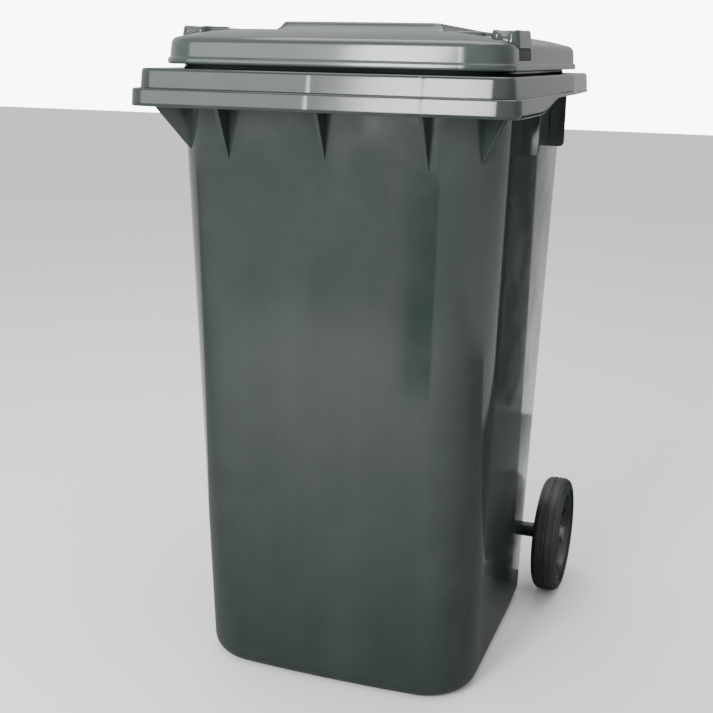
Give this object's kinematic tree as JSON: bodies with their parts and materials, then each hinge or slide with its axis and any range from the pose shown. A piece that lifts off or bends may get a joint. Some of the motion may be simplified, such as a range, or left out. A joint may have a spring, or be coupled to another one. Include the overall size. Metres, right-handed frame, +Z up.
{
  "type": "wheelie bin",
  "caption": "Tapered plastic wheelie bin with a deep lifting rim, a hinged lid that swings right over the back, and wheels on a steel axle.",
  "frame": {"origin": "on the ground at the centre of the whole object's box", "axes": "+Z up, the front faces -Y, +X to the right of a person who looks along +Y"},
  "size_m": [0.608, 0.7319, 1.054],
  "materials": {
    "tub_plastic": "glossy moulded plastic",
    "lid_plastic": "glossy moulded plastic",
    "steel": "zinc plated",
    "pin_plastic": "satin",
    "buffer_rubber": "matte",
    "tyre_rubber": "satin rubber",
    "hub_plastic": "satin moulded plastic",
    "bush_plastic": "satin",
    "spacer_plastic": "satin",
    "cap_steel": "zinc plated"
  },
  "bodies": {
    "bin": {"body": "tub_plastic", "axle": "steel", "hinge_pin_left": "pin_plastic", "axle_spacer_left": "spacer_plastic", "wheel_washer_left": "steel", "axle_cap_left": "cap_steel", "hinge_pin_right": "pin_plastic", "axle_spacer_right": "spacer_plastic", "wheel_washer_right": "steel", "axle_cap_right": "cap_steel"},
    "lid_body": {"lid": "lid_plastic", "lid_buffer_left": "buffer_rubber", "lid_buffer_right": "buffer_rubber"},
    "wheel_left": {"wheel_tyre_left": "tyre_rubber", "wheel_hub_left": "hub_plastic", "wheel_bush_left": "bush_plastic"},
    "wheel_right": {"wheel_tyre_right": "tyre_rubber", "wheel_hub_right": "hub_plastic", "wheel_bush_right": "bush_plastic"}
  },
  "joints": [
    {"name": "lid_hinge", "type": "hinge", "parent": "bin", "child": "lid_body", "pos_m": [0, 0.349, 0.996], "axis": [-1, 0, 0], "range_deg": [0, 270]},
    {"name": "wheel_left_spin", "type": "hinge", "parent": "bin", "child": "wheel_left", "pos_m": [-0.28, 0.237, 0.11], "axis": [1, 0, 0], "continuous": true},
    {"name": "wheel_right_spin", "type": "hinge", "parent": "bin", "child": "wheel_right", "pos_m": [0.28, 0.237, 0.11], "axis": [1, 0, 0], "continuous": true}
  ]
}
